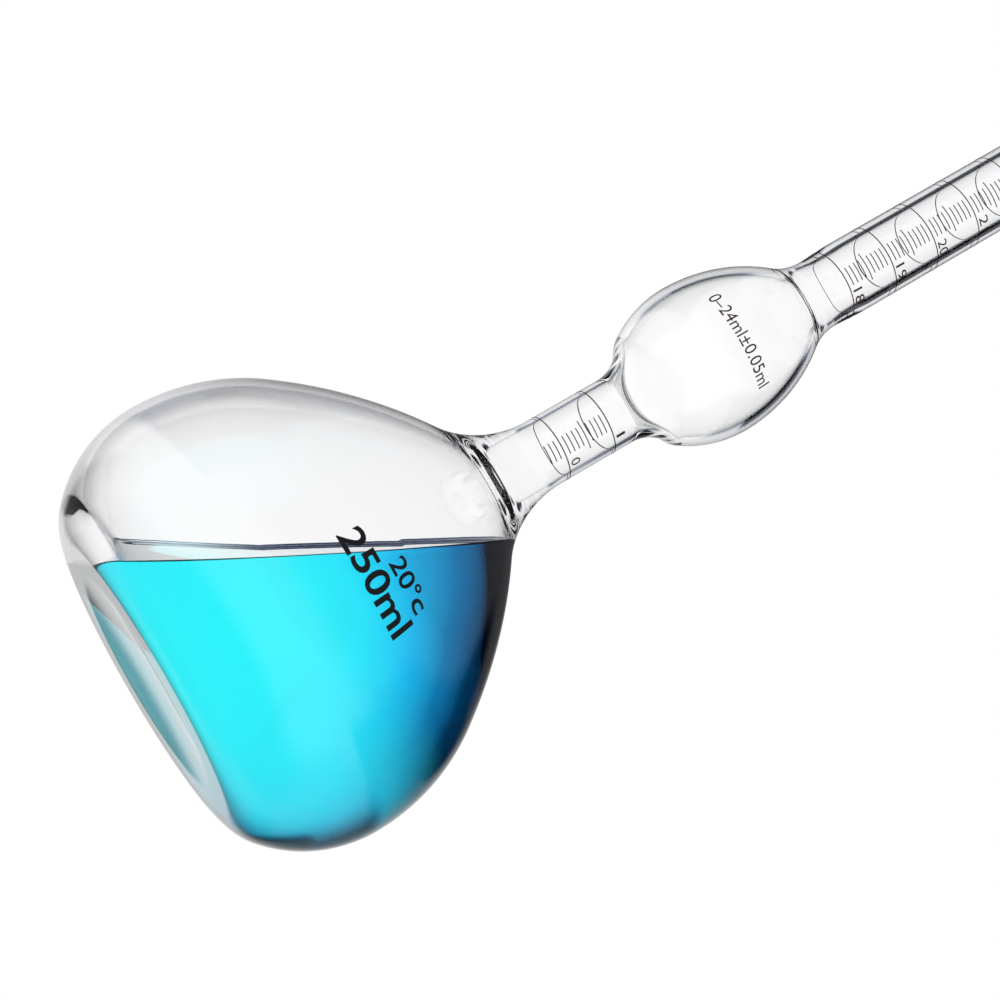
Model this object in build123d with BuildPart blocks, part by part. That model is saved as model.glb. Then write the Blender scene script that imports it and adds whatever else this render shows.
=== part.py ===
"""Density flask for powders, with its ground stopper and a coloured liquid.

A flat-bottomed bulb carries a thin graduated neck, a small middle bulb that holds
the volume between the two scales, and a graduated stem that ends in a ground socket.
The flask is one piece of blown glass. The origin is the middle of the foot on the
bench, and the axis of the glass is +Z. All sizes are in millimetres.

Each swelling of the glass is drawn from its girth, its widest point, as tangent arcs
given by a radius and the angle they turn, up to a throat where the glass is upright.
"""

import os
from math import cos, radians, sin

from build123d import *

# Bulb
bulb_diameter = 86.4
bulb_girth_height = 22.0
bulb_wall = 1.4
bowl_radius = 25.4
bowl_turn = 50.0
shoulder_arcs = [(39.7, 33.3), (95.5, 19.2)]
foot_hollow_radius = 21.0
foot_hollow_rise = 0.9
base_wall = 2.4
bowl_hollow_radius = 21.0

# Lower neck
neck_diameter = 13.14
neck_bore = 11.24
neck_length = 15.7

# Middle bulb
middle_diameter = 30.9
middle_wall = 1.6
belly_arcs = [(23.0, 33.0), (3.2, 25.0)]
crown_arcs = [(34.0, 35.5)]

# Stem
weld_diameter = 13.8
weld_length = 6.0
stem_diameter = 14.46
stem_bore = 11.2
stem_length = 70.4

# Ground socket at the mouth
joint_large_diameter = 14.5
joint_length = 20.0
joint_taper = 0.1
joint_wall = 2.3
socket_flare_turn = 50.0
bore_shoulder = 1.2
rim_radius = 0.8

# Stopper
ground_gap = 0.04
plug_short_of_floor = 2.0
plug_proud = 1.5
plug_tip_radius = 1.0
plug_head_round = 0.8
waist_radius = 3.3
waist_height = 4.0
grip_diameter = 19.0
grip_thickness = 7.0
grip_edge_radius = 3.0

# Liquid, level while the flask was tipped by the angle below
tip_angle = 61.0
liquid_height_on_axis = 48.5
film_gap = 0.1

up = (0, 1)
down = (0, -1)


def closing_radius(way, lean):
    """Radius of the arc that turns through a lean to end upright a way across."""
    return way / (1 - cos(radians(lean)))


def throat_rise(girth_radius, arcs, throat_radius):
    """Height between a girth and the upright throat that its arcs lead to."""
    lean, rise, radius_now = 0, 0, girth_radius
    for radius, turn in arcs:
        rise += radius * (sin(radians(lean + turn)) - sin(radians(lean)))
        radius_now -= radius * (cos(radians(lean)) - cos(radians(lean + turn)))
        lean += turn
    return rise + closing_radius(radius_now - throat_radius, lean) * sin(radians(lean))


def draw_throat(girth, direction, arcs, inset, throat_radius):
    """Tangent arcs from a girth to an upright throat, all moved in by the inset.

    Returns the throat's end point.
    """
    hand = 1 if direction == up else -1
    point, tangent, lean = girth, direction, 0
    for radius, turn in arcs:
        arc = JernArc(point, tangent, radius - inset, hand * turn)
        point, tangent, lean = arc @ 1, arc % 1, lean + turn
    closing = closing_radius(point.X - throat_radius, lean)
    return JernArc(point, tangent, closing, -hand * lean) @ 1


def draw_bowl(girth, radius, floor_height):
    """Two tangent arcs from the bulb's girth down to a level floor. Returns the end point."""
    bowl = JernArc(girth, down, radius, -bowl_turn)
    heel = (bowl @ 1).Y - floor_height
    return JernArc(bowl @ 1, bowl % 1, heel / (1 - sin(radians(bowl_turn))), bowl_turn - 90) @ 1


def joint_radius(height):
    """Radius of the ground cone at a height."""
    return (joint_large_diameter - joint_taper * (mouth_height - height)) / 2


# Radii and heights that follow from the sizes
bulb_radius = bulb_diameter / 2
neck_radius = neck_diameter / 2
middle_radius = middle_diameter / 2
weld_radius = weld_diameter / 2
stem_radius = stem_diameter / 2
socket_radius = joint_large_diameter / 2 + joint_wall
socket_flare_radius = closing_radius((socket_radius - stem_radius) / 2, socket_flare_turn)
floor_height = foot_hollow_rise + base_wall
neck_foot = bulb_girth_height + throat_rise(bulb_radius, shoulder_arcs, neck_radius)
neck_top = neck_foot + neck_length
middle_girth_height = neck_top + throat_rise(middle_radius, belly_arcs, neck_radius)
middle_top = middle_girth_height + throat_rise(middle_radius, crown_arcs, weld_radius)
stem_top = middle_top + stem_length
socket_foot = stem_top + 2 * socket_flare_radius * sin(radians(socket_flare_turn))
mouth_height = socket_foot + joint_length
bulb_girth = Vector(bulb_radius, bulb_girth_height)
middle_girth = Vector(middle_radius, middle_girth_height)

# Flask
with BuildPart() as flask:
    with BuildSketch(Plane.XZ):
        with BuildLine():
            foot_edge = draw_bowl(bulb_girth, bowl_radius, 0)
            Line(foot_edge, (foot_hollow_radius, 0))
            foot_arch = TangentArc(
                (0, foot_hollow_rise), (foot_hollow_radius, 0), tangent=(1, 0)
            )
            neck_foot_point = draw_throat(bulb_girth, up, shoulder_arcs, 0, neck_radius)
            neck_top_point = draw_throat(middle_girth, down, belly_arcs, 0, neck_radius)
            Line(neck_foot_point, neck_top_point)
            weld = draw_throat(middle_girth, up, crown_arcs, 0, weld_radius)
            Polyline(weld, (stem_radius, middle_top + weld_length), (stem_radius, stem_top))
            flare_out = JernArc(
                (stem_radius, stem_top), up, socket_flare_radius, -socket_flare_turn
            )
            flare_in = JernArc(
                flare_out @ 1, flare_out % 1, socket_flare_radius, socket_flare_turn
            )
            Polyline(
                flare_in @ 1,
                (socket_radius, mouth_height),
                (0, mouth_height),
                foot_arch @ 0,
            )
        make_face()
    revolve(axis=Axis.Z)
    with BuildSketch(Plane.XZ):
        with BuildLine():
            hollow_girth = bulb_girth - Vector(bulb_wall, 0)
            floor_edge = draw_bowl(hollow_girth, bowl_hollow_radius, floor_height)
            neck_start = draw_throat(hollow_girth, up, shoulder_arcs, bulb_wall, neck_bore / 2)
            ball_girth = middle_girth - Vector(middle_wall, 0)
            neck_end = draw_throat(ball_girth, down, belly_arcs, middle_wall, neck_bore / 2)
            Line(neck_start, neck_end)
            stem_start = draw_throat(ball_girth, up, crown_arcs, middle_wall, stem_bore / 2)
            Polyline(
                stem_start,
                (stem_bore / 2, socket_foot - bore_shoulder),
                (joint_radius(socket_foot), socket_foot),
                (joint_radius(mouth_height), mouth_height),
                (0, mouth_height),
                (0, floor_height),
                floor_edge,
            )
        make_face()
    revolve(axis=Axis.Z, mode=Mode.SUBTRACT)
    fillet(flask.edges().group_by(Axis.Z)[-1], min(rim_radius, joint_wall / 3))
flask.part.label = "flask"

# Stopper
plug_foot = socket_foot + plug_short_of_floor
plug_head = mouth_height + plug_proud
plug_head_radius = joint_radius(plug_head) - ground_gap
waist_top = plug_head + waist_height
grip_middle = waist_top + grip_diameter / 2 - grip_edge_radius
with BuildPart() as stopper:
    with BuildSketch(Plane.XZ):
        with Locations((0, grip_middle)):
            Circle(grip_diameter / 2)
    extrude(amount=grip_thickness / 2, both=True)
    fillet(stopper.edges().filter_by(GeomType.CIRCLE), grip_edge_radius)
    with BuildSketch(Plane.XZ):
        with BuildLine():
            plug_side = Polyline(
                (0, plug_foot),
                (joint_radius(plug_foot) - ground_gap, plug_foot),
                (plug_head_radius, plug_head),
                (plug_head_radius - plug_head_round, plug_head + plug_head_round),
            )
            throat = Spline(
                plug_side @ 1,
                (waist_radius, waist_top),
                tangents=[(-1, 0), up],
            )
            Polyline(throat @ 1, (waist_radius, grip_middle), (0, grip_middle), plug_side @ 0)
        make_face()
    revolve(axis=Axis.Z)
    fillet(stopper.edges().group_by(Axis.Z)[0], plug_tip_radius)
stopper.part.label = "stopper"

# Liquid
tip = radians(tip_angle)
liquid_surface = Plane(origin=(0, 0, liquid_height_on_axis), z_dir=(-sin(tip), 0, cos(tip)))
wet_inset = bulb_wall + film_gap
with BuildPart() as liquid:
    with BuildSketch(Plane.XZ):
        with BuildLine():
            wet_girth = bulb_girth - Vector(wet_inset, 0)
            wet_edge = draw_bowl(wet_girth, bowl_hollow_radius - film_gap, floor_height + film_gap)
            wet_neck = draw_throat(wet_girth, up, shoulder_arcs, wet_inset, neck_bore / 2 - film_gap)
            Polyline(wet_neck, (0, wet_neck.Y), (0, floor_height + film_gap), wet_edge)
        make_face()
    revolve(axis=Axis.Z)
    split(bisect_by=liquid_surface, keep=Keep.BOTTOM)
liquid.part.label = "liquid"

os.makedirs("parts", exist_ok=True)
export_step(flask.part, "parts/flask.step")
export_step(stopper.part, "parts/stopper.step")
export_step(liquid.part, "parts/liquid.step")
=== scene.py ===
"""Looks of the density flask: blown glass, ground stopper, dyed liquid and fired marks.

All lengths in the classes are millimetres, as on a glassblower's drawing, and are turned
to metres when a mesh is made. The axis of the glass is +Z and the foot stands at z = 0.
"""

import logging
from dataclasses import dataclass
from enum import Enum
from math import cos, radians, sin
from typing import Any

import bmesh
import bpy
import numpy as np
from mathutils import Matrix, Vector


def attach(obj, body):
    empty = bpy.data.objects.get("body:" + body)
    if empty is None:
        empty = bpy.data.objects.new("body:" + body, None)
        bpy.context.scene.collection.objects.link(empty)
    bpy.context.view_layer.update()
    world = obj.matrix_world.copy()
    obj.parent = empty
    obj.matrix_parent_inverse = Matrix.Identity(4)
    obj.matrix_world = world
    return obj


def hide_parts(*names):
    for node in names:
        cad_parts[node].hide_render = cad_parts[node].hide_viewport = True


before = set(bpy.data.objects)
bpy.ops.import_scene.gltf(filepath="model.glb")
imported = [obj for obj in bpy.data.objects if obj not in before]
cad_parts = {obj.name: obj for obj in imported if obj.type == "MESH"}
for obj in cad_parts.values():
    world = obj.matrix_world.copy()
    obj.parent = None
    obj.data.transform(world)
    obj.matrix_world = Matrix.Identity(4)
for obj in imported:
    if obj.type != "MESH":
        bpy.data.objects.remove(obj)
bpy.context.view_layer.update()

log = logging.getLogger("density_flask")

# An outline is an array of radii and heights, shape (points, 2).
Array = np.ndarray
Point = tuple[float, float]
Point3 = tuple[float, float, float]
Arcs = tuple[Point, ...]
Stops = tuple[tuple[float, str], ...]
Shell = tuple[Array, list[list[int]]]
Material = bpy.types.Material
Tree = bpy.types.NodeTree
Socket = bpy.types.NodeSocket

MM = 0.001
FLASK_BODY = "flask"
STOPPER_BODY = "stopper"


class Ends(Enum):
    """How the first and last rows of a skin are finished."""

    POLES = "poles"
    JOINED = "joined"


class Way(Enum):
    """The way that a swelling's outline runs from its girth."""

    UP = 1
    DOWN = -1


def linear(hex_code: str) -> tuple[float, float, float, float]:
    """Turn an sRGB hex colour to linear light.

    Args:
        hex_code: six hex digits, such as "1a0f0d".

    Returns:
        Linear red, green, blue and an alpha of one.
    """
    srgb = np.array([int(hex_code[i : i + 2], 16) for i in (0, 2, 4)]) / 255
    light = np.where(srgb <= 0.04045, srgb / 12.92, ((srgb + 0.055) / 1.055) ** 2.4)
    return (float(light[0]), float(light[1]), float(light[2]), 1.0)


def add(tree: Tree, kind: str, inputs: dict[Any, Any] | None = None,
        **settings: Any) -> bpy.types.Node:
    """Add one node with its settings, its constant inputs and its links.

    Args:
        tree: the node tree that receives the node.
        kind: the shader node's type name, without the prefix that all of them share.
        inputs: input name or index to a constant, or to an output socket to link from.
        settings: attributes of the node.

    Returns:
        The new node.
    """
    made = tree.nodes.new(f"ShaderNode{kind}")
    for name, value in settings.items():
        setattr(made, name, value)
    for key, value in (inputs or {}).items():
        if isinstance(value, Socket):
            tree.links.new(value, made.inputs[key])
        else:
            made.inputs[key].default_value = value
    return made


def maths(tree: Tree, operation: str, first: Any, second: Any) -> Socket:
    """The result of an operation on two values."""
    return add(tree, "Math", {0: first, 1: second}, operation=operation).outputs[0]


def blend(tree: Tree, factor: Socket, first: Any, second: Any) -> Socket:
    """The first colour where the factor is zero, the second where it is one."""
    inputs = {"Factor": factor, 6: first, 7: second}
    return add(tree, "Mix", inputs, data_type="RGBA").outputs[2]


def smooth_step(tree: Tree, value: Socket, low: float, high: float, at_low: float = 0.0,
                at_high: float = 1.0) -> Socket:
    """A smooth step from one level to another while a value goes from low to high."""
    inputs = {"Value": value, "From Min": low, "From Max": high, "To Min": at_low,
              "To Max": at_high}
    return add(tree, "MapRange", inputs, interpolation_type="SMOOTHSTEP").outputs["Result"]


def colours(tree: Tree, value: Socket, stops: Stops) -> Socket:
    """Run a value through a ramp of colours.

    Args:
        tree: the node tree.
        value: the value that runs over the ramp.
        stops: place and sRGB hex of each colour, rising.

    Returns:
        The colour.
    """
    made = add(tree, "ValToRGB", {0: value})
    elements = made.color_ramp.elements
    for place, colour in stops[1:-1]:
        elements.new(place).color = linear(colour)
    for end in (0, -1):
        elements[end].position, elements[end].color = stops[end][0], linear(stops[end][1])
    return made.outputs["Color"]


def grain(tree: Tree, size_mm: float, detail: float) -> Socket:
    """Noise fixed to the object, with cells as large as the size."""
    place = add(tree, "TexCoord").outputs["Object"]
    inputs = {"Vector": place, "Scale": 1 / (size_mm * MM), "Detail": detail}
    return add(tree, "TexNoise", inputs).outputs["Fac"]


def empty_tree(owner: Material | bpy.types.World) -> Tree:
    """Give a material or a world an empty node tree.

    Args:
        owner: the material or the world.

    Returns:
        Its node tree.
    """
    owner.use_nodes = True
    owner.node_tree.nodes.clear()
    return owner.node_tree


def skin(rows: Array, ends: Ends) -> Shell:
    """Join a grid of points into a closed shell.

    Every row is a closed loop. With poles, the first and last rows are each one point, and
    the others are joined to them by fans. With joined ends, the last row meets the first.

    Args:
        rows: points, shape (rows, points round, 3).
        ends: how the shell is closed.

    Returns:
        Vertices and faces.
    """
    count, around = rows.shape[:2]
    step = np.arange(around)
    following = (step + 1) % around
    if ends is Ends.JOINED:
        low = np.arange(count)[:, None] * around
        high = ((np.arange(count) + 1) % count)[:, None] * around
        quads = columns(low + step, low + following, high + following, high + step)
        return rows.reshape(-1, 3), quads.reshape(-1, 4).tolist()
    low = 1 + np.arange(count - 3)[:, None] * around
    quads = columns(low + step, low + following, low + around + following,
                    low + around + step)
    last = 1 + (count - 3) * around
    first_fan = columns(np.zeros_like(step), 1 + following, 1 + step)
    last_fan = columns(np.full_like(step, last + around), last + step,
                       last + following)
    points = np.vstack([rows[:1, 0], rows[1:-1].reshape(-1, 3), rows[-1:, 0]])
    faces = quads.reshape(-1, 4).tolist() + first_fan.tolist() + last_fan.tolist()
    return points, faces


def linked(name: str, data: Any) -> bpy.types.Object:
    """Make an object from its data and link it to the scene.

    Args:
        name: the object's name.
        data: its mesh, type, lamp or camera.

    Returns:
        The object, at the origin.
    """
    made = bpy.data.objects.new(name, data)
    bpy.context.scene.collection.objects.link(made)
    return made


def make_piece(name: str, shell: Shell, sharp: float = 40.0,
               smooth: bool = True) -> bpy.types.Object:
    """Make a mesh object whose place is in its mesh.

    Args:
        name: the piece's name.
        shell: vertices in millimetres, and the vertex indices of each face.
        sharp: edges that turn by more than this many degrees are shaded as edges.
        smooth: whether the faces are shaded smooth.

    Returns:
        The object, linked to the scene at the origin.
    """
    mesh = bpy.data.meshes.new(name)
    mesh.from_pydata((shell[0] * MM).tolist(), [], shell[1])
    mesh.update()
    if smooth:
        mesh.shade_smooth()
        mesh.set_sharp_from_angle(angle=radians(sharp))
    return linked(name, mesh)


def set_slots(piece: bpy.types.Object, slots: Array, *materials: Material) -> None:
    """Give a piece its materials, and each face the slot of its own."""
    for material in materials:
        piece.data.materials.append(material)
    piece.data.polygons.foreach_set("material_index", slots)


def columns(*parts: Array) -> Array:
    """Join the parts of coordinates along a new last axis."""
    return np.stack(parts, -1)


def circle(segments: int) -> Array:
    """Angles of even points round a circle, in radians."""
    return np.linspace(0, 2 * np.pi, segments, endpoint=False)


def turn(outline: Array, segments: int) -> Array:
    """Turn an outline about the axis: each point (r, z) becomes a circle (r cos a, r sin a, z).

    Args:
        outline: radii and heights, shape (points, 2).
        segments: points round the circle.

    Returns:
        The grid, shape (points, segments, 3).
    """
    angle = circle(segments)
    radius, height = outline[:, :1], outline[:, 1:]
    return columns(radius * np.cos(angle), radius * np.sin(angle),
                   np.broadcast_to(height, (len(outline), segments)))


def straight(*corners: Point, step: float = 1.0) -> Array:
    """Points along straight runs between corners, no further apart than the step.

    Args:
        corners: (radius, height) of each corner.
        step: the longest spacing.

    Returns:
        The points.
    """
    runs = []
    for start, stop in zip(corners, corners[1:]):
        a, b = np.array(start), np.array(stop)
        count = max(1, int(np.ceil(np.linalg.norm(b - a) / step)))
        runs.append(a + (b - a) * np.linspace(0, 1, count, endpoint=False)[:, None])
    return np.vstack([*runs, np.array(corners[-1:])])


def bend(start: Point, lean_from: float, lean_to: float, radius: float, way: Way,
         hollow: bool = False, step: float = 1.2) -> Array:
    """An arc between two leans from the upright.

    A lean of zero is upright. On the round side of a swelling the outline moves in as the
    lean grows: r = r0 - R (cos l0 - cos l), z = z0 +- R (sin l - sin l0). On a hollow arc
    the centre is on the other side, and the same two differences change sign.

    Args:
        start: (radius, height) where the arc starts.
        lean_from: lean at the start, degrees.
        lean_to: lean at the end, degrees.
        radius: the arc's radius.
        way: up or down.
        hollow: whether the arc closes a throat.
        step: angular step, degrees.

    Returns:
        The points.
    """
    count = max(2, int(abs(lean_to - lean_from) / step) + 1)
    lean = np.radians(np.linspace(lean_from, lean_to, count))
    side = -1 if hollow else 1
    across = side * radius * (np.cos(lean[0]) - np.cos(lean))
    along = side * radius * (np.sin(lean) - np.sin(lean[0]))
    return columns(start[0] - across, start[1] + way.value * along)


def closing_radius(way_across: float, lean: float) -> float:
    """Radius of the arc that turns from a lean to the upright over a way across."""
    return way_across / (1 - cos(radians(lean)))


def throat(girth: Point, way: Way, arcs: Arcs, inset: float, throat_radius: float) -> Array:
    """Outline from a girth through its arcs to an upright throat.

    Args:
        girth: (radius, height) of the widest point.
        way: up or down.
        arcs: radius and turn of each arc, as on the outer face.
        inset: how far the outline is moved in from the outer face.
        throat_radius: radius of the upright throat.

    Returns:
        The points.
    """
    lean, runs, at = 0.0, [], girth
    for radius, turned in arcs:
        run = bend(at, lean, lean + turned, radius - inset, way)
        runs.append(run[:-1])
        at = tuple(run[-1])
        lean += turned
    closing = closing_radius(at[0] - throat_radius, lean)
    return np.vstack([*runs, bend(at, lean, 0.0, closing, way, hollow=True)])


def bowl(girth: Point, radius: float, turned: float, floor: float) -> Array:
    """Outline from a girth down a bowl and a heel to a level floor.

    Args:
        girth: (radius, height) of the widest point.
        radius: radius of the bowl's arc.
        turned: degrees that the bowl turns before the heel.
        floor: height of the floor.

    Returns:
        The points.
    """
    side = bend(girth, 0.0, turned, radius, Way.DOWN)
    heel_radius = (side[-1, 1] - floor) / (1 - sin(radians(turned)))
    heel = bend(tuple(side[-1]), turned, 90.0, heel_radius, Way.DOWN)
    return np.vstack([side[:-1], heel])


@dataclass
class BlownFlask:
    """The one-piece glass: foot, bulb, neck, middle bulb, stem and ground socket."""

    bulb_radius: float = 43.2
    bulb_girth: float = 22.0
    bulb_wall: float = 1.4
    bowl_radius: float = 25.4
    bowl_turn: float = 50.0
    bowl_hollow: float = 21.0
    shoulder: Arcs = ((39.7, 33.3), (95.5, 19.2))
    shoulder_root: Arcs = ((77.0, 6.0),)
    foot_hollow: float = 21.0
    foot_rise: float = 0.9
    foot_points: int = 24
    base_wall: float = 1.8
    neck_radius: float = 6.57
    neck_bore: float = 5.62
    neck_length: float = 15.7
    middle_radius: float = 15.45
    middle_wall: float = 1.6
    belly: Arcs = ((23.0, 33.0), (3.2, 25.0))
    crown: Arcs = ((34.0, 35.5),)
    crown_root: Arcs = ((8.0, 12.0),)
    weld_radius: float = 6.9
    weld_length: float = 6.0
    stem_radius: float = 7.23
    stem_bore: float = 5.6
    stem_length: float = 70.4
    joint_radius: float = 7.25
    joint_length: float = 20.0
    joint_taper: float = 0.05
    joint_wall: float = 2.3
    flare_turn: float = 50.0
    flare_points: int = 14
    bore_shoulder: float = 1.2
    rim_radius: float = 0.75
    rim_points: int = 7
    bulb_waver: Point = (48.0, 17.0)
    middle_waver: Point = (0.5, 8.0)
    waver_depths: Point3 = (0.10, 0.05, 0.05)
    segments: int = 100

    def __post_init__(self) -> None:
        """Work out the heights that follow from the sizes."""
        shoulder = throat((self.bulb_radius, self.bulb_girth), Way.UP, self.shoulder, 0.0,
                          self.neck_radius)
        self.neck_foot = float(shoulder[-1, 1])
        self.neck_top = self.neck_foot + self.neck_length
        belly = throat((self.middle_radius, 0.0), Way.DOWN, self.belly, 0.0, self.neck_radius)
        self.middle_girth = self.neck_top - float(belly[-1, 1])
        crown = throat((self.middle_radius, self.middle_girth), Way.UP, self.crown, 0.0,
                       self.weld_radius)
        self.weld = float(crown[-1, 1])
        self.stem_top = self.weld + self.stem_length
        self.socket_radius = self.joint_radius + self.joint_wall
        self.flare_radius = closing_radius((self.socket_radius - self.stem_radius) / 2,
                                           self.flare_turn)
        self.socket_foot = self.stem_top + 2 * self.flare_radius * sin(radians(self.flare_turn))
        self.mouth = self.socket_foot + self.joint_length
        self.floor = self.foot_rise + self.base_wall

    def cone_radius(self, height: float) -> float:
        """Radius of the ground cone at a height."""
        return self.joint_radius - self.joint_taper * (self.mouth - height)

    def swellings(self, bowl_radius: float, floor: float, insets: Point,
                  arcs: tuple[Arcs, Arcs], throats: Point) -> Array:
        """Outline of the bulb, the neck and the middle bulb, from the heel to the weld.

        Args:
            bowl_radius: radius of the bowl's arc.
            floor: height of the level floor.
            insets: how far the bulb and the middle bulb are moved in from the outer face.
            arcs: the arcs of the shoulder and of the crown, as on the outer face.
            throats: radii of the neck and of the stem's foot.

        Returns:
            The points.
        """
        girth = (self.bulb_radius - insets[0], self.bulb_girth)
        middle = (self.middle_radius - insets[1], self.middle_girth)
        base = bowl(girth, bowl_radius, self.bowl_turn, floor)[::-1]
        shoulder = throat(girth, Way.UP, arcs[0], insets[0], throats[0])
        belly = throat(middle, Way.DOWN, self.belly, insets[1], throats[0])[::-1]
        neck = straight(tuple(shoulder[-1]), tuple(belly[0]))[1:-1]
        crown = throat(middle, Way.UP, arcs[1], insets[1], throats[1])
        return np.vstack([base, shoulder[1:], neck, belly, crown[1:]])

    def outside(self) -> Array:
        """Outer outline from the middle of the foot to the start of the rim.

        The foot's arch rises by h (1 - s^2), with s the share of the way out to its edge.

        Returns:
            The points.
        """
        body = self.swellings(self.bowl_radius, 0.0, (0.0, 0.0), (self.shoulder, self.crown),
                              (self.neck_radius, self.weld_radius))
        out = np.linspace(0, 1, self.foot_points)[:, None]
        arch = np.hstack([out * self.foot_hollow, self.foot_rise * (1 - out**2)])
        foot = straight((self.foot_hollow, 0.0), tuple(body[0]))[1:-1]
        stem = straight(tuple(body[-1]), (self.stem_radius, self.weld + self.weld_length),
                        (self.stem_radius, self.stem_top))[1:]
        flare = self.flare()
        socket = straight(tuple(flare[-1]), (self.socket_radius, self.mouth - self.rim_radius))
        return np.vstack([arch, foot, body, stem, flare[1:], socket[1:]])

    def flare(self) -> Array:
        """Two arcs that carry the stem out to the socket.

        Returns:
            The points.
        """
        lean = np.radians(np.linspace(0, self.flare_turn, self.flare_points))
        across, along = self.flare_radius * (1 - np.cos(lean)), self.flare_radius * np.sin(lean)
        first = columns(self.stem_radius + across, self.stem_top + along)
        second = columns(self.socket_radius - across, self.socket_foot - along)[::-1]
        return np.vstack([first, second[1:]])

    def rim(self) -> Array:
        """Fire-polished rim: two quarter rounds from the socket's outside to the cone.

        Returns:
            The points.
        """
        angle = np.linspace(0, np.pi / 2, self.rim_points)
        base = self.mouth - self.rim_radius
        cone = self.cone_radius(self.mouth)
        outer = columns(self.socket_radius - self.rim_radius * (1 - np.cos(angle)),
                        base + self.rim_radius * np.sin(angle))
        inner = columns(cone + self.rim_radius * (1 - np.sin(angle)),
                        base + self.rim_radius * np.cos(angle))
        return np.vstack([outer[1:], inner[:-1]])

    def hollow(self, extra: float = 0.0) -> Array:
        """Inner outline of the cavity, from the middle of the floor to the stem's bore.

        Args:
            extra: how far the outline is moved out into the glass.

        Returns:
            The points.
        """
        floor = self.floor - extra
        body = self.swellings(
            self.bowl_hollow + extra, floor, (self.bulb_wall - extra, self.middle_wall - extra),
            (self.shoulder + self.shoulder_root, self.crown + self.crown_root),
            (self.neck_bore + extra, self.stem_bore + extra))
        return np.vstack([straight((0.0, floor), tuple(body[0]), step=2.0)[:-1], body])

    def inside(self) -> Array:
        """Inner outline from the mouth down to the middle of the floor.

        Returns:
            The points.
        """
        hollow = self.hollow()
        rim_foot = self.mouth - self.rim_radius
        cone = straight((self.cone_radius(rim_foot), rim_foot),
                        (self.cone_radius(self.socket_foot), self.socket_foot),
                        (self.stem_bore, self.socket_foot - self.bore_shoulder),
                        tuple(hollow[-1]))
        return np.vstack([cone[:-1], hollow[::-1]])

    def waver(self, grid: Array) -> Array:
        """Give the turned grid the small unevenness of glass blown by hand.

        The radius gains w(z) (a sin(2 t + 1) + b sin(3 t + z / 9) + c sin(z / 13 + 2 t)),
        with t the angle round the axis and w next to zero at the foot, at the scales and
        at the mouth.

        Args:
            grid: turned points, shape (rows, segments, 3).

        Returns:
            The moved points.
        """
        x, y, z = grid[..., 0], grid[..., 1], grid[..., 2]
        angle, radius = np.arctan2(y, x), np.hypot(x, y)
        a, b, c = self.waver_depths
        bulb = np.exp(-(((z - self.bulb_waver[0]) / self.bulb_waver[1]) ** 2))
        middle = np.exp(-(((z - self.middle_girth) / self.middle_waver[1]) ** 2))
        weight = (np.clip(radius / self.middle_radius, 0, 1)
                  * (bulb + self.middle_waver[0] * middle))
        move = weight * (a * np.sin(2 * angle + 1) + b * np.sin(3 * angle + z / 9)
                         + c * np.sin(z / 13 + 2 * angle))
        scale = np.where(radius > 0, (radius + move) / np.maximum(radius, 1e-9), 1)
        return columns(x * scale, y * scale, z)

    def build(self, clear: Material, ground: Material, inner: Material) -> None:
        """Make the glass as one closed shell and dress its blown and ground faces.

        Args:
            clear: material of the fire-polished faces.
            ground: material of the ground socket.
            inner: material of the inner faces.
        """
        outer, rim = self.outside(), self.rim()
        outline = np.vstack([outer, rim, self.inside()])
        points, faces = skin(self.waver(turn(outline, self.segments)), Ends.POLES)
        piece = make_piece("flask_glass", (points, faces), sharp=50)
        first = len(outer) + len(rim)
        ground_rows = first + np.nonzero(outline[first:, 1] >= self.socket_foot - 1e-6)[0]
        slots = np.zeros(len(faces), np.int32)
        band = slice((ground_rows[0] - 1) * self.segments,
                     (ground_rows[-1] - 1) * self.segments)
        slots[band] = 1
        slots[band.stop : -2 * self.segments] = 2
        slots[-self.segments :] = 2
        set_slots(piece, slots, clear, ground, inner)
        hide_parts("flask")
        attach(piece, FLASK_BODY)
        log.info("flask glass: %d faces, neck %.2f to %.2f, middle %.2f, weld %.2f, mouth %.2f",
                 len(faces), self.neck_foot, self.neck_top, self.middle_girth, self.weld,
                 self.mouth)


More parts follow.
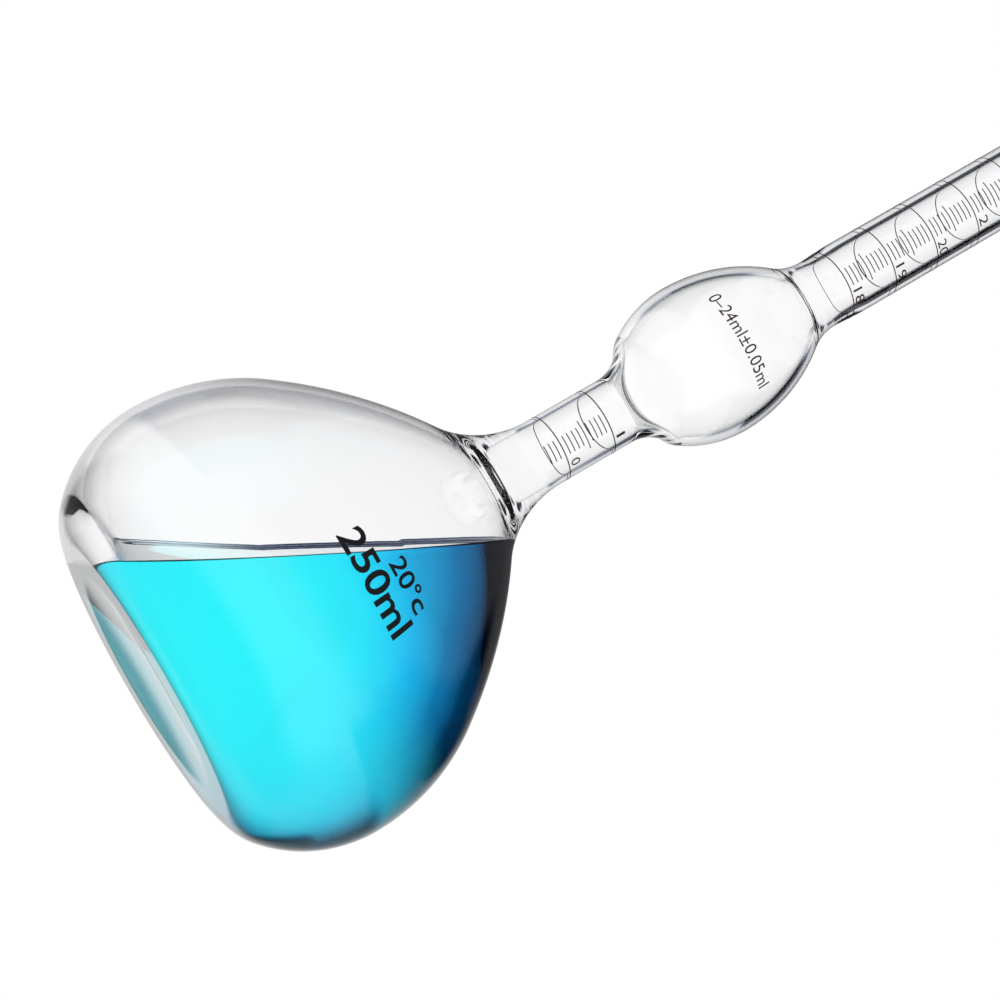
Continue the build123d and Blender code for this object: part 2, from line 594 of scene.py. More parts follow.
@dataclass
class GroundStopper:
    """Solid stopper: a ground cone, a waist and a flat round grip, drawn as one loft."""

    flask: BlownFlask
    gap: float = 0.04
    short_of_floor: float = 2.0
    proud: float = 1.5
    tip_round: float = 1.0
    head_round: float = 0.8
    waist_radius: float = 3.3
    waist_height: float = 4.0
    waist_pull: float = 3.6
    grip_radius: float = 9.5
    grip_half_thickness: float = 3.5
    grip_edge: float = 3.0
    grip_power: float = 4.0
    grip_rows: int = 45
    segments: int = 96

    def __post_init__(self) -> None:
        """Work out the stopper's heights from the socket."""
        self.foot = self.flask.socket_foot + self.short_of_floor
        self.head = self.flask.mouth + self.proud
        self.waist = self.head + self.waist_height
        self.grip_middle = self.waist + self.grip_radius - self.grip_edge
        self.top = self.grip_middle + self.grip_radius

    def plug(self) -> Array:
        """Half-widths and heights of the round plug, from its tip to its waist.

        The waist is a cubic curve between two points with a given pull at each.

        Returns:
            The points.
        """
        tip = self.flask.cone_radius(self.foot) - self.gap
        head = self.flask.cone_radius(self.head) - self.gap
        angle = np.linspace(0, np.pi / 2, 9)
        face = straight((0.0, self.foot), (tip - self.tip_round, self.foot))
        edge = columns(tip - self.tip_round * (1 - np.sin(angle)),
                       self.foot + self.tip_round * (1 - np.cos(angle)))
        cone = straight(tuple(edge[-1]), (head, self.head), step=0.8)
        brow = columns(head - self.head_round * (1 - np.cos(angle)),
                       self.head + self.head_round * np.sin(angle))
        t = np.linspace(0, 1, 12)[1:, None]
        start, stop = brow[-1], np.array([self.waist_radius, self.waist])
        curve = ((2 * t**3 - 3 * t**2 + 1) * start
                 + (t**3 - 2 * t**2 + t) * (-self.waist_pull, 0)
                 + (3 * t**2 - 2 * t**3) * stop + (t**3 - t**2) * (0, self.waist_pull))
        return np.vstack([face[:-1], edge, cone[1:], brow[1:], curve])

    def build(self, clear: Material, ground: Material) -> None:
        """Loft the stopper through superellipse sections.

        A section at height z is |x / a|^n + |y / b|^n = 1. On the plug a = b and n = 2. On
        the grip a follows the coin's circle, b its half thickness, and n grows to 4 so that
        the two flat faces and their rounded edge appear.

        Args:
            clear: material of the fire-polished faces.
            ground: material of the ground cone.
        """
        plug = self.plug()
        down = np.linspace(0, 1, self.grip_rows + 1)[1:]
        start = np.arccos(np.clip((self.grip_middle - self.waist) / self.grip_radius, -1, 1))
        height = self.grip_middle - self.grip_radius * np.cos(start + (np.pi - start) * down)
        coin = self.grip_radius * np.sin(start + (np.pi - start) * down)
        grown = np.clip((height - self.waist) / self.grip_edge, 0, 1)
        grown = grown * grown * (3 - 2 * grown)
        half_a = np.maximum(coin, self.waist_radius * (1 - grown) * (height < self.grip_middle))
        close = np.clip((self.top - height) / self.grip_edge, 0, 1)
        half_b = self.waist_radius + (self.grip_half_thickness - self.waist_radius) * grown
        half_b = half_b * np.sqrt(1 - (1 - close) ** 2)
        rows_a, rows_b, rows_z = (np.concatenate([plug[:, i], grip])[:, None]
                                  for i, grip in ((0, half_a), (0, half_b), (1, height)))
        power = np.concatenate([np.full(len(plug), 2.0),
                                2.0 + (self.grip_power - 2.0) * grown])[:, None]
        angle = circle(self.segments)
        cosine, sine = np.cos(angle), np.sin(angle)
        x = rows_a * np.sign(cosine) * np.abs(cosine) ** (2 / power)
        y = rows_b * np.sign(sine) * np.abs(sine) ** (2 / power)
        points, faces = skin(columns(x, y, np.broadcast_to(rows_z, x.shape)), Ends.POLES)
        piece = make_piece("stopper_glass", (points, faces), sharp=50)
        cone_rows = np.nonzero((plug[:, 1] > self.foot + self.tip_round)
                               & (plug[:, 1] <= self.head))[0]
        slots = np.zeros(len(faces), np.int32)
        slots[(cone_rows[0] - 1) * self.segments : cone_rows[-1] * self.segments] = 1
        set_slots(piece, slots, clear, ground)
        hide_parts("stopper")
        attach(piece, STOPPER_BODY)
        log.info("stopper: %d faces, top at %.1f mm", len(faces), self.top)


@dataclass
class DyedLiquid:
    """The liquid in the bulb, level while the flask lay tipped."""

    flask: BlownFlask
    tip: float = 63.6
    height_on_axis: float = 48.5
    into_glass: float = 0.25
    meniscus_rise: float = 0.6
    meniscus_reach: float = 0.8
    segments: int = 240
    slices: int = 150
    surface_rings: int = 60
    ring_spread: float = 0.45
    wall_points: int = 720
    edge_band: float = 0.6
    search_reach: float = 120.0
    search_steps: int = 96
    halvings: int = 30

    def build(self, dyed: Material) -> None:
        """Skin the liquid from level slices of the cavity.

        Each slice is a plane at a depth below the surface. Its edge is found along rays
        from the middle of the slice: the first place where the distance from the axis
        reaches the cavity's radius at that height. The surface itself is the top slice
        drawn in rings, lifted by rise * exp(-distance from the glass / reach), which is the
        meniscus.

        Args:
            dyed: the liquid's material.
        """
        wall = self.flask.hollow(self.into_glass)
        order = wall[:, 1].argsort(kind="stable")
        heights, radii = wall[order, 1], wall[order, 0]
        tip = radians(self.tip)
        normal = np.array([-sin(tip), 0.0, cos(tip)])
        uphill = np.array([cos(tip), 0.0, sin(tip)])
        level = np.array([0.0, 1.0, 0.0])
        origin = np.array([0.0, 0.0, self.height_on_axis])
        turned = np.linspace(0, 2 * np.pi, self.wall_points)
        shell = np.concatenate([columns(r * np.cos(turned), r * np.sin(turned),
                                        np.full_like(turned, z))
                                for r, z in zip(radii, heights) if z < self.flask.neck_foot])
        depth_of = (origin - shell) @ normal
        deepest, depth_max = shell[depth_of.argmax()], float(depth_of.max())
        way_up = (shell[np.abs(depth_of) < self.edge_band] - origin) @ uphill
        middle_top = origin + uphill * float(way_up.min() + way_up.max()) / 2
        share = np.sin(np.linspace(0, np.pi / 2, self.slices + 1))[1:-1]
        depths = np.concatenate([[0.0], depth_max * share])
        centres = middle_top + (deepest - middle_top) * (depths / depth_max)[:, None]
        angle = circle(self.segments)
        rays = np.cos(angle)[:, None] * uphill + np.sin(angle)[:, None] * level
        reach = self.find_edge(centres, rays, heights, radii)
        edges = centres[:, None] + reach[..., None] * rays
        inward = np.linspace(0, 1, self.surface_rings + 1)[:-1] ** self.ring_spread
        from_wall = (1 - inward)[:, None] * reach[0]
        lift = self.meniscus_rise * np.exp(-from_wall / self.meniscus_reach)
        surface = (centres[0] + inward[:, None, None] * reach[0][:, None] * rays
                   + lift[..., None] * normal)
        top_edge = edges[0] + self.meniscus_rise * normal
        rows = np.concatenate([np.broadcast_to(deepest, (1, self.segments, 3)),
                               edges[::-1], top_edge[None], surface[::-1]])
        points, faces = skin(rows, Ends.POLES)
        piece = make_piece("liquid_body", (points, faces), sharp=30)
        piece.data.materials.append(dyed)
        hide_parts("liquid")
        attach(piece, FLASK_BODY)
        log.info("liquid: %d faces, deepest %.1f mm below its surface", len(faces), depth_max)

    def find_edge(self, centres: Array, rays: Array, heights: Array, radii: Array) -> Array:
        """Distance along each ray to the cavity's wall: bracketed on even steps, then halved.

        Args:
            centres: middle of each slice, shape (slices, 3).
            rays: directions, shape (segments, 3).
            heights: heights of the wall's outline, rising.
            radii: radii of the wall's outline.

        Returns:
            Distances, shape (slices, segments).
        """

        def is_outside(distance: Array) -> Array:
            """Whether the point at a distance along each ray lies outside the wall."""
            x, y, z = np.moveaxis(centres[:, None] + distance[..., None] * rays, -1, 0)
            return np.hypot(x, y) > np.interp(z, heights, radii, left=0.0)

        shape = (len(centres), len(rays))
        low, high = np.zeros(shape), np.full(shape, self.search_reach)
        found = np.zeros(shape, bool)
        for step in np.linspace(0, self.search_reach, self.search_steps + 1)[1:]:
            is_out = is_outside(np.full(shape, step))
            high = np.where(is_out & ~found, step, high)
            found |= is_out
            low = np.where(found, low, step)
        for _ in range(self.halvings):
            half = (low + high) / 2
            is_out = is_outside(half)
            high, low = np.where(is_out, half, high), np.where(is_out, low, half)
        return (low + high) / 2


@dataclass
class PrintedSurface:
    """The outer face of the glass as the printer sees it: a sheet to wrap marks on."""

    outline: Array
    facing: float

    def __post_init__(self) -> None:
        """Measure the outline's length and its outward normals."""
        steps = np.linalg.norm(np.diff(self.outline, axis=0), axis=1)
        self.outline = self.outline[np.concatenate([[True], steps > 1e-9])]
        self.length = np.concatenate([[0.0], np.cumsum(steps[steps > 1e-9])])
        slope = np.gradient(self.outline, self.length, axis=0)
        slope /= np.linalg.norm(slope, axis=1)[:, None]
        self.normal = columns(slope[:, 1], -slope[:, 0])

    def wrap(self, flat: Array, height: float, around: float, lift: float) -> Array:
        """Wrap flat marks on the glass.

        A flat point (x, y, d) goes to the place y further up the outline than the given
        height, x further round it, and d plus the lift out from the glass.

        Args:
            flat: points, shape (points, 3).
            height: height of the flat origin on the glass.
            around: angle of the flat origin from the printed side's middle, degrees.
            lift: distance of the print from the glass.

        Returns:
            Wrapped points, shape (points, 3).
        """
        upper = self.outline[:, 1].argmax()
        start = np.interp(height, self.outline[: upper + 1, 1], self.length[: upper + 1])
        at = start + flat[:, 1]
        radius, up = (np.interp(at, self.length, self.outline[:, i]) for i in (0, 1))
        out, lean = (np.interp(at, self.length, self.normal[:, i]) for i in (0, 1))
        base_radius = float(np.interp(start, self.length, self.outline[:, 0]))
        angle = radians(self.facing + around) + flat[:, 0] / base_radius
        away = flat[:, 2] + lift
        reach = radius + away * out
        return columns(reach * np.cos(angle), reach * np.sin(angle), up + away * lean)


@dataclass(frozen=True)
class Figure:
    """One printed word or number: its height on the glass and its angle round it, in
    degrees from the middle of the scale, then its size and how much bolder it is."""

    text: str
    height_on_glass: float
    around: float
    cap_height: float
    width: float
    weight: float = 0.0


RANGE_MARK = (Figure("0–24ml±0.05ml", 122.5, 0.9, 2.75, 20.7),)
CAPACITY_MARK = (Figure("250ml", 33.5, 6.5, 5.2, 19.8, 0.018),)
TEMPERATURE_MARK = (Figure("20", 39.2, 8.3, 3.9, 5.4, 0.014),
                    Figure("°", 39.2, 13.9, 3.9, 1.6, 0.014),
                    Figure("c", 39.2, 17.2, 3.9, 2.5, 0.014))


@dataclass
class FiredPrint:
    """Scales, figures and capacity marks, fired on the outside of the glass."""

    flask: BlownFlask
    facing: float = -98.72
    thickness: float = 0.03
    lift: float = 0.012
    ring_width: float = 0.24
    ring_segments: int = 144
    tick_width: float = 0.2
    tick_steps: int = 14
    zero_height: float = 85.7
    lower_spacing: float = 10.08
    eighteen_height: float = 151.0
    upper_spacing: float = 10.16
    first_upper: int = 18
    last_upper: int = 24
    lower_short: Point = (-0.95, 2.77)
    lower_long: Point = (-1.89, 3.83)
    upper_short: Point = (-1.71, 2.02)
    upper_long: Point = (-2.71, 2.94)
    lower_figure_rise: float = 0.55
    upper_figure_rise: float = 0.5
    cap_share: float = 0.73
    half_depth: float = 0.5
    cut: float = 0.45

    def __post_init__(self) -> None:
        """Take the printed face from the flask's outline."""
        self.sheet = PrintedSurface(self.flask.outside(), self.facing)

    def upper_height(self, millilitres: float) -> float:
        """Height of a mark on the upper scale."""
        return self.eighteen_height + self.upper_spacing * (millilitres - self.first_upper)

    def lower_height(self, millilitres: float) -> float:
        """Height of a mark on the lower scale."""
        return self.zero_height + self.lower_spacing * millilitres

    def rings(self) -> Shell:
        """Full circles round the glass at every millilitre, each a flat rounded band.

        Returns:
            Vertices and faces.
        """
        heights = [self.lower_height(0), self.lower_height(1)]
        heights += [self.upper_height(n) for n in range(self.first_upper, self.last_upper + 1)]
        section = circle(8)
        outline = self.sheet.outline
        shells = []
        for height in heights:
            radius = float(np.interp(height, outline[:, 1], outline[:, 0]))
            middle = radius + self.lift + self.thickness / 2
            band = columns(middle + self.thickness / 2 * np.cos(section),
                           height + self.ring_width / 2 * np.sin(section))
            shells.append(skin(turn(band, self.ring_segments), Ends.JOINED))
        return self.join(shells)

    @staticmethod
    def join(shells: list[Shell]) -> Shell:
        """Put shells together, each one's faces counted on from the last one's.

        Args:
            shells: vertices and faces of each.

        Returns:
            Vertices and faces of all.
        """
        faces: list[list[int]] = []
        start = 0
        for points, own in shells:
            faces += [[i + start for i in face] for face in own]
            start += len(points)
        return np.vstack([points for points, _ in shells]), faces

    def ticks(self) -> Shell:
        """Lines at every tenth of a millilitre between the rings, longer at the halves.

        Returns:
            Vertices and faces.
        """
        marks = []
        for tenth in (*range(-3, 0), *range(1, 10)):
            ends = self.lower_long if tenth == 5 else self.lower_short
            marks.append(self.bar(self.lower_height(tenth / 10), *ends))
        for tenth in range(1, 10 * (self.last_upper - self.first_upper)):
            if tenth % 10:
                ends = self.upper_long if tenth % 10 == 5 else self.upper_short
                marks.append(self.bar(self.upper_height(self.first_upper + tenth / 10), *ends))
        return self.join(marks)

    def bar(self, height: float, left: float, right: float) -> Shell:
        """A short line across the scale: a thin box, bent round the glass.

        Args:
            height: height of the line.
            left: its left end, measured round the glass from the middle of the scale.
            right: its right end.

        Returns:
            Vertices and faces.
        """
        steps = self.tick_steps
        x = left + (right - left) * np.linspace(0, 1, steps)
        corner_y = np.array([-1, 1, 1, -1]) * self.tick_width / 2
        corner_d = np.array([0, 0, 1, 1]) * self.thickness
        flat = columns(np.repeat(x, 4), np.tile(corner_y, steps), np.tile(corner_d, steps))
        loops, side = np.arange(steps - 1)[:, None] * 4, np.arange(4)
        after = (side + 1) % 4
        quads = columns(loops + side, loops + 4 + side, loops + 4 + after, loops + after)
        last = 4 * (steps - 1)
        faces = quads.reshape(-1, 4).tolist()
        faces += [[0, 1, 2, 3], [last + 3, last + 2, last + 1, last]]
        return self.sheet.wrap(flat, height, 0.0, self.lift), faces

    def figures(self) -> list[Figure]:
        """The numbers beside the rings.

        Returns:
            The figures.
        """
        numbers = [Figure(str(n), self.lower_height(n) + self.lower_figure_rise, around, 2.0,
                          width) for n, around, width in ((0, 41.5, 1.45), (1, 40.0, 0.6))]
        numbers += [Figure(str(n), self.upper_height(n) + self.upper_figure_rise, 37.0, 2.1,
                           3.3) for n in range(self.first_upper, self.last_upper + 1)]
        return numbers

    def lettering(self, figure: Figure) -> Shell:
        """Set a word, cut it finely enough to bend, and wrap it on the glass.

        Args:
            figure: the word, its place and its size.

        Returns:
            Vertices and faces.
        """
        curve = bpy.data.curves.new(figure.text, "FONT")
        curve.body = figure.text
        curve.align_x = "CENTER"
        curve.extrude = self.half_depth
        curve.resolution_u = 4
        curve.offset = figure.weight
        holder = linked("set_type", curve)
        bpy.context.view_layer.update()
        mesh = bpy.data.meshes.new_from_object(holder)
        bpy.data.objects.remove(holder)
        bpy.data.curves.remove(curve)
        corners = np.array([v.co for v in mesh.vertices])
        low, high = corners.min(0), corners.max(0)
        wide = figure.width / (high[0] - low[0])
        tall = figure.cap_height / self.cap_share
        bm = bmesh.new()
        bm.from_mesh(mesh)
        bpy.data.meshes.remove(mesh)
        bmesh.ops.remove_doubles(bm, verts=bm.verts, dist=1e-5)
        for vert in bm.verts:
            vert.co = Vector(((vert.co.x - (low[0] + high[0]) / 2) * wide, vert.co.y * tall,
                              (vert.co.z + self.half_depth) * self.thickness))
        for way, span in ((Vector((1, 0, 0)), figure.width / 2), (Vector((0, 1, 0)), tall)):
            for place in np.arange(-span, span, self.cut):
                bmesh.ops.bisect_plane(bm, geom=[*bm.verts, *bm.edges, *bm.faces],
                                       plane_co=way * float(place), plane_no=way)
        bmesh.ops.triangulate(bm, faces=[f for f in bm.faces if len(f.verts) > 4])
        bmesh.ops.recalc_face_normals(bm, faces=bm.faces)
        bm.verts.index_update()
        flat = np.array([v.co for v in bm.verts])
        faces = [[v.index for v in f.verts] for f in bm.faces]
        bm.free()
        return self.sheet.wrap(flat, figure.height_on_glass, figure.around, self.lift), faces

    def print_piece(self, name: str, shells: list[Shell], ink: Material) -> None:
        """Join wrapped marks into one piece that rides on the flask.

        Args:
            name: the piece's name.
            shells: vertices and faces of each mark.
            ink: the enamel.
        """
        shell = self.join(shells)
        piece = make_piece(name, shell, smooth=False)
        piece.data.materials.append(ink)
        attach(piece, FLASK_BODY)
        log.info("%s: %d faces", name, len(shell[1]))

    def build(self, scale_ink: Material, mark_ink: Material) -> None:
        """Print the rings, ticks, figures and capacity marks.

        Args:
            scale_ink: enamel of the scales and of the range.
            mark_ink: enamel of the capacity and of the temperature.
        """
        self.print_piece("scale_rings", [self.rings()], scale_ink)
        self.print_piece("scale_ticks", [self.ticks()], scale_ink)
        for name, words, ink in (("scale_figures", self.figures(), scale_ink),
                                 ("range_mark", RANGE_MARK, scale_ink),
                                 ("capacity_mark", CAPACITY_MARK, mark_ink),
                                 ("temperature_mark", TEMPERATURE_MARK, mark_ink)):
            self.print_piece(name, [self.lettering(word) for word in words], ink)


@dataclass(frozen=True)
class GlassFinish:
    """Clear laboratory glass, blown and fire polished, or ground with fine grit."""

    name: str
    ior: float = 1.473
    roughness: float = 0.0
    # What a face lets pass head on and edge on, with painted shade that turns a blown wall navy
    # at its silhouette.
    clear: str = "ffffff"
    edge: str = "20263a"
    edge_from: float = 0.52
    shadow: str = "f4f6f8"
    mirror: float = 1.0
    # Blown glass draws in waves as long as a fingertip, which bend what is seen through it.
    wave_size_mm: float = 16.0
    wave_depth_mm: float = 0.02
    wave_detail: float = 2.0
    # Grit is drawn coarser than real grit, so that the ground cone shows its frost.
    grit_mm: float = 0.0
    grit_depth_share: float = 0.2

    def build(self) -> Material:
        """Build the material.

        The face's colour is darkened to navy where it is seen edge on: painted shade at the
        silhouette. Shadow and indirect light pass straight through.

        Returns:
            The material.
        """
        material = bpy.data.materials.new(self.name)
        tree = empty_tree(material)
        noise = grain(tree, self.grit_mm or self.wave_size_mm, self.wave_detail)
        depth = self.grit_mm * self.grit_depth_share if self.grit_mm else self.wave_depth_mm
        bump = add(tree, "Bump", {"Strength": 1.0, "Distance": depth * MM, "Height": noise})
        # Painted shade: the colour runs from clear head on to navy edge on, by the facing.
        facing = add(tree, "LayerWeight", {"Blend": 0.5}).outputs["Facing"]
        edge = smooth_step(tree, facing, self.edge_from, 1.0)
        tint = blend(tree, edge, linear(self.clear), linear(self.edge))
        finish_clear(tree, {"Base Color": tint, "Roughness": self.roughness, "IOR": self.ior,
                            "Normal": bump.outputs["Normal"]}, self.shadow, self.mirror)
        return material


@dataclass(frozen=True)
class LiquidFinish:
    """Water with a blue dye: clear, coloured by the way that light goes through it, and with
    painted shade at its rim.
    """

    name: str = "dyed_water"
    ior: float = 1.333
    absorb: str = "18fdff"
    density: float = 46.0
    # Painted shade: the rim of the liquid is coloured towards navy where it is seen edge on.
    rim: Stops = ((0.0, "ffffff"), (0.05, "c8e8ff"), (0.117, "84acea"), (0.181, "3c5486"),
                  (0.235, "0a142a"))
    rim_from_mm: float = 13.0
    rim_full_mm: float = 36.0
    shadow: str = "ffffff"
    mirror: float = 0.3

    def build(self) -> Material:
        """Build the material: its colour is in the body, and its rim is painted shade, to navy.

        The ramp of painted shade runs over the facing of the wetted wall, seen through the
        glass, where it reaches 0.27 at the silhouette. It fades out towards the heel, left
        bright.

        Returns:
            The material.
        """
        material = bpy.data.materials.new(self.name)
        tree = empty_tree(material)
        # Painted shade: navy at the liquid's silhouette, by the facing, faded out towards the
        # heel.
        facing = add(tree, "LayerWeight", {"Blend": 0.5}).outputs["Facing"]
        rim = colours(tree, facing, self.rim)
        place = add(tree, "TexCoord").outputs["Object"]
        height = add(tree, "SeparateXYZ", {0: place}).outputs["Z"]
        above = smooth_step(tree, height, self.rim_from_mm * MM, self.rim_full_mm * MM)
        tint = blend(tree, above, linear("ffffff"), rim)
        body = add(tree, "VolumeAbsorption", {"Color": linear(self.absorb),
                                              "Density": self.density})
        finish_clear(tree, {"Base Color": tint, "Roughness": 0.0, "IOR": self.ior},
                     self.shadow, self.mirror, body.outputs[0])
        return material


def finish_clear(tree: Tree, look: dict[str, Any], shadow: str, mirror: float,
                 body: Socket | None = None) -> None:
    """Join a clear surface, and the body behind it if any, to a material's output.

    Args:
        tree: the material's tree.
        look: the surface's colour, roughness, index of refraction and bumped normal.
        shadow: sRGB hex of the light that shadows and indirect rays let pass.
        mirror: share of the head-on reflection that the face keeps. A wetted face keeps
            next to none, because glass and water hardly reflect at each other.
        body: what absorbs light in the body.
    """
    surface = add(tree, "BsdfPrincipled", look | {"Transmission Weight": 1.0,
                                                  "Specular Tint": (mirror,) * 3 + (1.0,)})
    path = add(tree, "LightPath").outputs
    aside = maths(tree, "MAXIMUM", path["Is Shadow Ray"], path["Is Diffuse Ray"])
    passing = add(tree, "BsdfTransparent", {"Color": linear(shadow)})
    mixed = add(tree, "MixShader", {0: aside, 1: surface.outputs[0], 2: passing.outputs[0]})
    output = {"Surface": mixed.outputs[0]} | ({"Volume": body} if body else {})
    add(tree, "OutputMaterial", output)


@dataclass(frozen=True)
class EnamelFinish:
    """Vitreous ink, screened on and fired: dark, slightly uneven and half glossy."""

    name: str
    dark: str
    light: str
    # The grain of the screened powder gives the lines their slight unevenness.
    grain_mm: float = 0.25
    grain_detail: float = 3.0
    roughness: float = 0.45
    ior: float = 1.5

    def build(self) -> Material:
        """Build the material, its colour drifting between the dark and light ink.

        Returns:
            The material.
        """
        material = bpy.data.materials.new(self.name)
        tree = empty_tree(material)
        tint = blend(tree, grain(tree, self.grain_mm, self.grain_detail), linear(self.dark),
                     linear(self.light))
        surface = add(tree, "BsdfPrincipled", {"Base Color": tint, "IOR": self.ior,
                                               "Roughness": self.roughness})
        add(tree, "OutputMaterial", {"Surface": surface.outputs[0]})
        return material


@dataclass
class Studio:
    """White backdrop, black cloths, a soft key lamp, a pale floor and the camera."""

    camera_mm: Point3 = (-65.28, -425.38, -52.32)
    camera_forward: Point3 = (0.15352, 0.94811, 0.27842)
    camera_up: Point3 = (-0.8757, 0.0, 0.48286)
    sensor_mm: float = 36.0
    focal_mm: float = 88.2
    near_mm: float = 10.0
    far_mm: float = 60000.0
    bounces: int = 32
    mirror_bounces: int = 12
    # Of the world: a rise or a drop is the two heights z of a unit direction that a change
    # runs between. An edge is a patch's angular half width and how soft it is, in degrees.
    # Azimuths are degrees from +Y towards +X.
    fill: float = 0.92
    overhead: float = 0.1
    overhead_rise: Point = (0.14, 0.45)
    bench: float = 0.85
    bench_drop: Point = (-0.24, -0.12)
    bench_edge: Point = (60.0, 25.0)
    window_azimuth: float = 9.2
    window_edge: Point = (42.0, 19.0)
    ceiling_rise: Point = (0.03, 0.13)
    ceiling_edge: Point = (110.0, 12.0)
    open_rise: Point = (0.62, 0.75)
    slit_azimuth: float = 3.0
    slit_edge: Point = (35.0, 7.0)
    side_rise: Point = (0.28, 0.36)
    screen_way: Point3 = (0.862, 0.406, -0.304)
    screen_edge: Point = (42.0, 16.0)
    screen: float = 0.85
    nadir: float = 0.4
    nadir_drop: Point = (-0.72, -0.48)
    cloth: Stops = ((0.0, "04050a"), (0.3, "3c4458"), (0.6, "9aa0b0"), (0.85, "e2e5ec"),
                    (1.0, "ffffff"))
    floor_half_mm: float = 12000.0
    floor_drop_mm: float = 0.3
    lamp_mm: Point3 = (-900.0, -700.0, 1500.0)
    lamp_aim_mm: Point3 = (0.0, 0.0, 100.0)
    lamp_size_mm: float = 900.0
    lamp_watts: float = 9.0

    def build(self) -> None:
        """Set up the world, the floor, the lamp, the camera and the view."""
        self.world()
        self.floor()
        self.lamp()
        self.camera()
        scene = bpy.context.scene
        scene.view_settings.view_transform = "Standard"
        scene.cycles.max_bounces = self.bounces
        scene.cycles.transmission_bounces = self.bounces
        scene.cycles.glossy_bounces = self.mirror_bounces
        scene.cycles.transparent_max_bounces = self.bounces

    def world(self) -> None:
        """White for the camera; a lit set for glass; plain fill for matt faces.

        A ceiling cloth hangs ahead of the camera, with a round window in it on the
        camera's line. Above it two side cloths leave a slit, and the top is open. The
        light of the set is (1 - cloths) times the dimming towards the nadir, coloured by
        the cloth ramp. Rays that go through glass see that set. Mirrored rays see it
        dimmed overhead, over the bench ahead and by a dark screen on the right.
        """
        world = bpy.data.worlds.new("studio")
        bpy.context.scene.world = world
        tree = empty_tree(world)
        direction = add(tree, "TexCoord").outputs["Generated"]
        height = add(tree, "SeparateXYZ", {0: direction}).outputs["Z"]
        level = add(tree, "VectorMath", {0: direction, 1: (1.0, 1.0, 0.0)},
                    operation="MULTIPLY").outputs[0]
        level = add(tree, "VectorMath", {0: level}, operation="NORMALIZE").outputs[0]
        forward = tuple(Vector(self.camera_forward).normalized())
        window_way = self.azimuth(self.window_azimuth)
        beside = self.away(tree, direction, forward, *self.window_edge)
        ahead = self.less(tree, self.away(tree, level, window_way, *self.ceiling_edge))
        high = smooth_step(tree, height, *self.ceiling_rise)
        ceiling = self.times(tree, beside, self.times(tree, high, ahead))
        sides = self.away(tree, level, self.azimuth(self.slit_azimuth), *self.slit_edge)
        sides = self.times(tree, sides, self.times(
            tree, ahead, smooth_step(tree, height, *self.side_rise)))
        cloths = self.times(tree, maths(tree, "MAXIMUM", sides, ceiling),
                            smooth_step(tree, height, *self.open_rise, 1.0, 0.0))
        nadir = smooth_step(tree, height, *self.nadir_drop, self.nadir, 1.0)
        lit_set = colours(tree, self.times(tree, self.less(tree, cloths), nadir), self.cloth)
        below_top = smooth_step(tree, height, *self.overhead_rise, 1.0,
                                self.overhead)
        low = smooth_step(tree, height, *self.bench_drop, self.bench, 0.0)
        near = self.less(tree, self.away(tree, level, window_way, *self.bench_edge))
        off_bench = self.less(tree, self.times(tree, low, near))
        screen = self.less(tree, self.away(tree, direction, self.screen_way,
                                           *self.screen_edge))
        off_screen = self.less(tree, self.times(tree, screen, self.screen))
        mirrored = blend(tree, self.times(tree, self.times(tree, below_top, off_bench),
                                          off_screen), linear("000000"), lit_set)
        path = add(tree, "LightPath").outputs
        lit = blend(tree, path["Is Glossy Ray"], (self.fill,) * 3 + (1.0,), mirrored)
        lit = blend(tree, path["Is Transmission Ray"], lit, lit_set)
        shown = blend(tree, path["Is Camera Ray"], lit, linear("ffffff"))
        sky = add(tree, "Background", {"Color": shown, "Strength": 1.0})
        add(tree, "OutputWorld", {"Surface": sky.outputs[0]})

    @staticmethod
    def away(tree: Tree, direction: Socket, middle: Point3, half: float,
             soft: float) -> Socket:
        """Zero near a direction and one away from it.

        Args:
            tree: the world's tree.
            direction: the unit direction of the light's ray.
            middle: the unit direction of the clear patch's middle.
            half: angular radius of the patch, degrees.
            soft: half width of its soft edge, degrees.

        Returns:
            The value.
        """
        toward = add(tree, "VectorMath", {0: direction, 1: middle},
                     operation="DOT_PRODUCT").outputs["Value"]
        return smooth_step(tree, toward, cos(radians(half + soft)), cos(radians(half - soft)),
                           1.0, 0.0)

    @staticmethod
    def azimuth(degrees: float) -> Point3:
        """Level unit direction at an azimuth."""
        return (sin(radians(degrees)), cos(radians(degrees)), 0.0)

    @staticmethod
    def times(tree: Tree, first: Socket, second: Any) -> Socket:
        """The product of two values."""
        return maths(tree, "MULTIPLY", first, second)

    @staticmethod
    def less(tree: Tree, value: Socket) -> Socket:
        """One less the value."""
        return maths(tree, "SUBTRACT", 1.0, value)

    def floor(self) -> None:
        """A pale floor that is seen from above only, and that glass looks past."""
        half = self.floor_half_mm
        corners = np.array([[x * half, y * half, -self.floor_drop_mm]
                            for x, y in ((-1, -1), (1, -1), (1, 1), (-1, 1))])
        plane = make_piece("studio_floor", (corners, [[0, 1, 2, 3]]), smooth=False)
        material = bpy.data.materials.new("matt_paper")
        tree = empty_tree(material)
        under = add(tree, "NewGeometry").outputs["Backfacing"]
        path = add(tree, "LightPath").outputs
        passed = maths(tree, "MAXIMUM", path["Is Transmission Ray"], path["Is Glossy Ray"])
        open_way = maths(tree, "MAXIMUM", under, passed)
        paper = add(tree, "BsdfDiffuse", {"Color": linear("f4f4f5")}).outputs[0]
        through = add(tree, "BsdfTransparent").outputs[0]
        mixed = add(tree, "MixShader", {0: open_way, 1: paper, 2: through})
        add(tree, "OutputMaterial", {"Surface": mixed.outputs[0]})
        plane.data.materials.append(material)

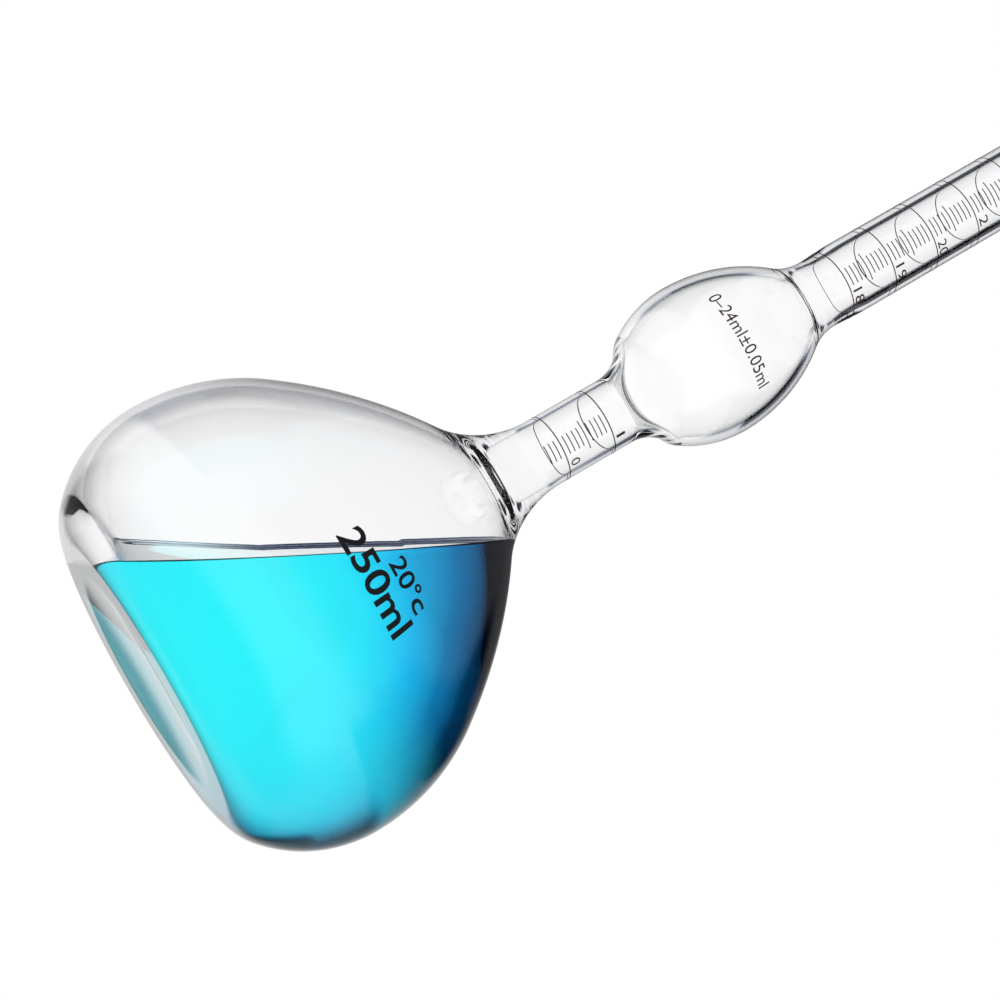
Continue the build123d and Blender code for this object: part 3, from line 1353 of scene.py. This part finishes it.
    def lamp(self) -> None:
        """A soft key lamp high on the left."""
        light = bpy.data.lights.new("key", "AREA")
        light.shape = "DISK"
        light.size = self.lamp_size_mm * MM
        light.energy = self.lamp_watts
        lamp = linked("key_lamp", light)
        spot, aim = Vector(self.lamp_mm) * MM, Vector(self.lamp_aim_mm) * MM
        turned = (aim - spot).to_track_quat("-Z", "Y").to_matrix().to_4x4()
        lamp.matrix_world = Matrix.Translation(spot) @ turned
        lamp.visible_glossy = False
        lamp.visible_transmission = False
        lamp.visible_camera = False

    def camera(self) -> None:
        """The photograph's camera: below the bench, rolled so that the flask lies tipped."""
        data = bpy.data.cameras.new("camera")
        data.sensor_width = self.sensor_mm
        data.lens = self.focal_mm
        data.clip_start = self.near_mm * MM
        data.clip_end = self.far_mm * MM
        camera = linked("camera", data)
        forward = Vector(self.camera_forward).normalized()
        up = Vector(self.camera_up)
        up = (up - up.dot(forward) * forward).normalized()
        turned = Matrix((forward.cross(up), up, -forward)).transposed().to_4x4()
        camera.matrix_world = Matrix.Translation(Vector(self.camera_mm) * MM) @ turned
        bpy.context.scene.camera = camera


def main() -> None:
    """Build the pieces in order, then the studio."""
    logging.basicConfig(level=logging.INFO, format="%(name)s %(message)s")
    # Clear glass with painted navy shade at its edges.
    blown = GlassFinish("borosilicate_fire_polished").build()
    # Frosted white, where the cone and the socket are ground to fit; its painted edge shade
    # starts nearer the silhouette.
    ground = GlassFinish("borosilicate_ground", roughness=0.35, edge_from=0.8,
                         grit_mm=0.12).build()
    # Red-brown lines of the scales, and nearly black capacity marks.
    scale_ink = EnamelFinish("brown_fired_enamel", "1c0d0c", "4a2b28").build()
    mark_ink = EnamelFinish("black_fired_enamel", "07070a", "17171c").build()
    # The same clear glass inside, where it hardly mirrors, with the same painted edge shade.
    inner = GlassFinish("borosilicate_inner_face", mirror=0.1).build()
    flask = BlownFlask()
    flask.build(blown, ground, inner)
    DyedLiquid(flask).build(LiquidFinish().build())
    FiredPrint(flask).build(scale_ink, mark_ink)
    GroundStopper(flask).build(blown, ground)
    Studio().build()


if __name__ == "__main__":
    main()
